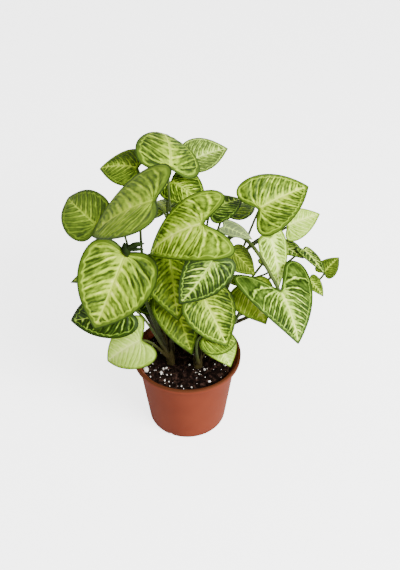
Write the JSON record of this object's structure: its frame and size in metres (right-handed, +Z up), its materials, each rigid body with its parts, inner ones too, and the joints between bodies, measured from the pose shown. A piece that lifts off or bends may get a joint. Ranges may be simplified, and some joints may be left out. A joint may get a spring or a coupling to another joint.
{
  "type": "potted syngonium",
  "caption": "House plant with arrow-shaped, cream-veined green leaves on thin stalks, growing from dark potting soil in a round tapered nursery pot that stands on a flat foot.",
  "frame": {"origin": "middle of the pot's foot, on the plane that it stands on", "axes": "+Z up along the pot's axis; -Y towards the side from which the plant is seen; +X to that viewer's right"},
  "size_m": [0.3021, 0.2196, 0.314],
  "materials": {
    "pot": "satin terracotta-coloured moulded plastic",
    "soil": "rough, dark, damp potting soil with white grains",
    "stalk": "smooth pale green stalks, browner at the soil",
    "leaf_lime": "semi-gloss leaf, lime green with cream veins",
    "leaf_pale": "semi-gloss young leaf, pale cream green",
    "leaf_deep": "semi-gloss leaf, deep green with whitish veins"
  },
  "bodies": {
    "root": {"pot": "pot", "soil": "soil", "shoot_front_left": "stalk", "shoot_front": "stalk", "shoot_left": "stalk", "shoot_middle": "stalk", "shoot_right": "stalk", "shoot_back": "stalk", "shoot_back_right": "stalk", "leaf_top": "leaf_lime", "leaf_high_left": "leaf_lime", "leaf_far_left": "leaf_lime", "leaf_top_left": "leaf_lime", "leaf_top_right": "leaf_pale", "leaf_centre": "leaf_lime", "leaf_right": "leaf_lime", "leaf_front_left": "leaf_lime", "leaf_low_left": "leaf_deep", "leaf_pale_low_left": "leaf_pale", "leaf_inner_front": "leaf_lime", "leaf_front": "leaf_deep", "leaf_low_front": "leaf_lime", "leaf_over_soil": "leaf_lime", "leaf_low_right": "leaf_lime", "leaf_pale_low_right": "leaf_pale", "leaf_front_right": "leaf_deep", "leaf_under_right": "leaf_lime", "leaf_folded_pale": "leaf_pale", "leaf_pale_far_right": "leaf_pale", "leaf_narrow_right": "leaf_deep", "leaf_small_right": "leaf_deep", "leaf_tiny_right": "leaf_lime", "leaf_tiny_low_right": "leaf_lime", "leaf_behind_centre": "leaf_deep", "leaf_young_pale": "leaf_pale", "leaf_inner_right": "leaf_lime", "leaf_inner_left": "leaf_lime", "leaf_inner_low_left": "leaf_deep", "leaf_back_left": "leaf_lime", "leaf_back": "leaf_lime", "leaf_back_right": "leaf_lime", "leaf_back_far_right": "leaf_lime", "leaf_left_low": "leaf_lime", "leaf_back_low_left": "leaf_lime", "leaf_back_low": "leaf_lime", "leaf_back_low_right": "leaf_lime"}
  },
  "joints": []
}
